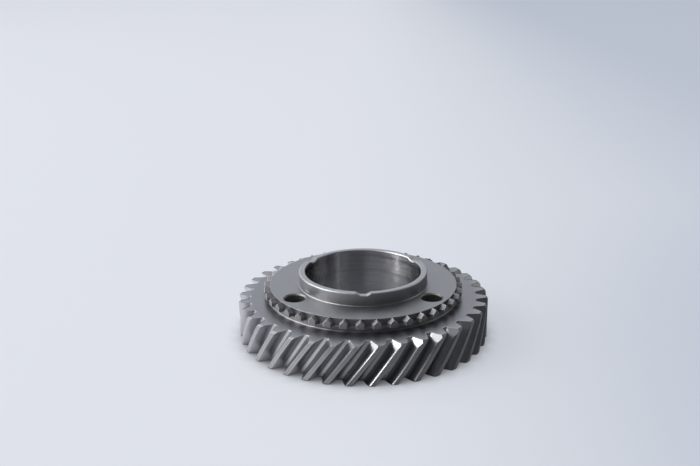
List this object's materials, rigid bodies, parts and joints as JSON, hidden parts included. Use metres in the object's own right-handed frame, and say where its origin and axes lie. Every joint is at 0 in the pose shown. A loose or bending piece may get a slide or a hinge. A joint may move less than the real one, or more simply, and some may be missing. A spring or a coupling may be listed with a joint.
{
  "type": "helical speed gear with dog teeth",
  "caption": "One-piece helical gear for a synchronised gearbox: ring of pointed dog teeth, lug holes through its plate, and a notched collar round a plain bore.",
  "frame": {"origin": "centre of the bore on the back face, the face the gear stands on", "axes": "+Z along the bore from the back face to the collar; -Y through one oil notch of the collar; +X to the right of it, seen from the collar side with that notch towards the viewer"},
  "size_m": [0.118, 0.118, 0.0307],
  "materials": {
    "gear_steel": "hardened steel, turned faces and ground flanks"
  },
  "bodies": {
    "root": {"speed_gear": "gear_steel"}
  },
  "joints": []
}
